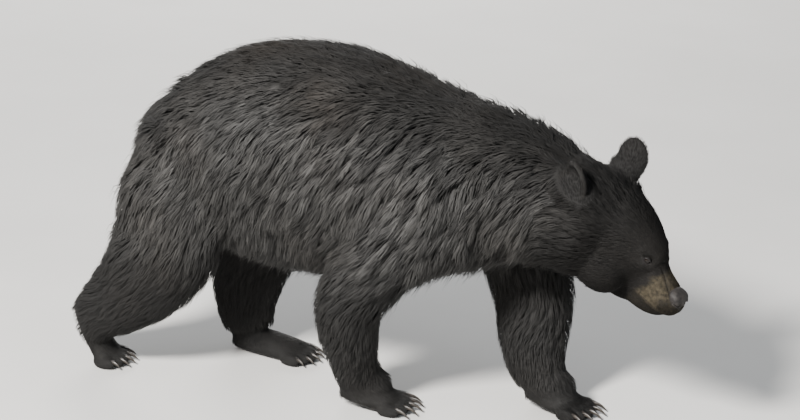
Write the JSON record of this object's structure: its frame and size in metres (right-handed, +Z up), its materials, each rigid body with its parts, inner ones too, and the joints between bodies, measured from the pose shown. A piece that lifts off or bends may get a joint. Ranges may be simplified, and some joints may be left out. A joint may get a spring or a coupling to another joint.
{
  "type": "black bear model",
  "caption": "Life-size still model of a black bear in mid stride, head low and turned, dark shaggy coat, tan muzzle, rounded ears and clawed feet.",
  "frame": {"origin": "middle of the floor under the bear's box", "axes": "+X ahead, the way the bear walks; +Y to its left; +Z up"},
  "size_m": [1.3778, 0.4574, 0.7606],
  "materials": {
    "fur": "near-black hair, soft sheen, slightly brown along the back",
    "muzzle_fur": "short tan hair",
    "nose": "damp pebbled dark skin",
    "eye": "clear gloss, dark brown",
    "claw": "dark horn, satin"
  },
  "bodies": {
    "root": {"trunk": "fur", "neck": "fur", "head": "fur", "muzzle": "muzzle_fur", "lower_jaw": "muzzle_fur", "nose": "nose", "ear_right": "fur", "ear_left": "fur", "eye_right": "eye", "eye_left": "eye", "tail": "fur", "foreleg_right_upper": "fur", "foreleg_right_forearm": "fur", "forepaw_right": "fur", "foreleg_left_upper": "fur", "foreleg_left_forearm": "fur", "forepaw_left": "fur", "hindleg_right_thigh": "fur", "hindleg_right_shank": "fur", "hindfoot_right": "fur", "hindleg_left_thigh": "fur", "hindleg_left_shank": "fur", "hindfoot_left": "fur", "forepaw_right_claw_1": "claw", "forepaw_right_claw_2": "claw", "forepaw_right_claw_3": "claw", "forepaw_right_claw_4": "claw", "forepaw_right_claw_5": "claw", "forepaw_left_claw_1": "claw", "forepaw_left_claw_2": "claw", "forepaw_left_claw_3": "claw", "forepaw_left_claw_4": "claw", "forepaw_left_claw_5": "claw", "hindfoot_right_claw_1": "claw", "hindfoot_right_claw_2": "claw", "hindfoot_right_claw_3": "claw", "hindfoot_right_claw_4": "claw", "hindfoot_right_claw_5": "claw", "hindfoot_left_claw_1": "claw", "hindfoot_left_claw_2": "claw", "hindfoot_left_claw_3": "claw", "hindfoot_left_claw_4": "claw", "hindfoot_left_claw_5": "claw"}
  },
  "joints": []
}
